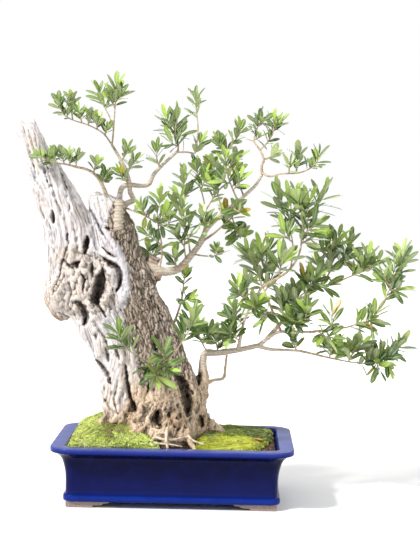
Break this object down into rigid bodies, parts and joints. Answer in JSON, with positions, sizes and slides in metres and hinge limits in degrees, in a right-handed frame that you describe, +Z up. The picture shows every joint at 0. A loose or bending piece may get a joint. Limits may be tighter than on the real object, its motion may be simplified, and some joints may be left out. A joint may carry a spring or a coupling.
{
  "type": "olive bonsai",
  "caption": "Old hollow-trunked olive bonsai with silver deadwood and small leafy branches, planted in a rectangular blue-glazed tray pot with moss.",
  "frame": {"origin": "under the middle of the whole tree and pot, on the plane that the pot's four feet stand on", "axes": "+Z up, +X along the pot towards the side the branches reach out to, +Y to the back"},
  "size_m": [0.5956, 0.2426, 0.6245],
  "materials": {
    "pot_glaze": "gloss",
    "foot_clay": "matte",
    "drain_mesh": "matte",
    "soil": "matte",
    "wood": "matte",
    "leaf": "satin",
    "moss": "matte",
    "dark_moss": "matte",
    "dead_leaf": "matte",
    "pebble": "matte"
  },
  "bodies": {
    "root": {"pot": "pot_glaze", "drain_screen_left": "drain_mesh", "drain_screen_right": "drain_mesh", "soil": "soil", "trunk": "wood", "moss_left": "moss", "moss_right": "dark_moss", "grass_tuft": "moss", "fallen_leaf": "dead_leaf", "pebble_1": "pebble", "pebble_2": "pebble", "pebble_3": "pebble", "spray_crown_left": "leaf", "spray_crown_top": "leaf", "spray_crown_side": "leaf", "spray_crown_right": "leaf", "spray_crown_low": "leaf", "spray_arch_first": "leaf", "spray_arch_tip": "leaf", "spray_arch_right": "leaf", "spray_climbing": "leaf", "spray_through_left": "leaf", "spray_left_stem": "leaf", "spray_left_dark": "leaf", "spray_mid_low": "leaf", "spray_mid_stem": "leaf", "spray_mid_high": "leaf", "spray_mid_right": "leaf", "spray_high_left": "leaf", "spray_high_mid": "leaf", "spray_high_top": "leaf", "spray_low_inner": "leaf", "spray_bare_tip": "leaf", "spray_weave_left": "leaf", "spray_weave_low": "leaf", "spray_weave_foot": "leaf", "spray_weave_side": "leaf", "spray_rise_left": "leaf", "spray_rise_back": "leaf", "spray_rise_mid": "leaf", "spray_front_left": "leaf", "spray_front_mid": "leaf", "spray_back_left": "leaf", "spray_fork": "leaf", "spray_fork_right": "leaf", "front_shoot": "leaf", "branch_low_left": "leaf", "branch_side": "leaf", "branch_centre": "leaf", "branch_back": "leaf", "branch_crest": "leaf", "branch_back_end": "leaf", "branch_front_end": "leaf", "branch_rise_end": "leaf", "branch_up_end": "leaf"}
  },
  "joints": []
}
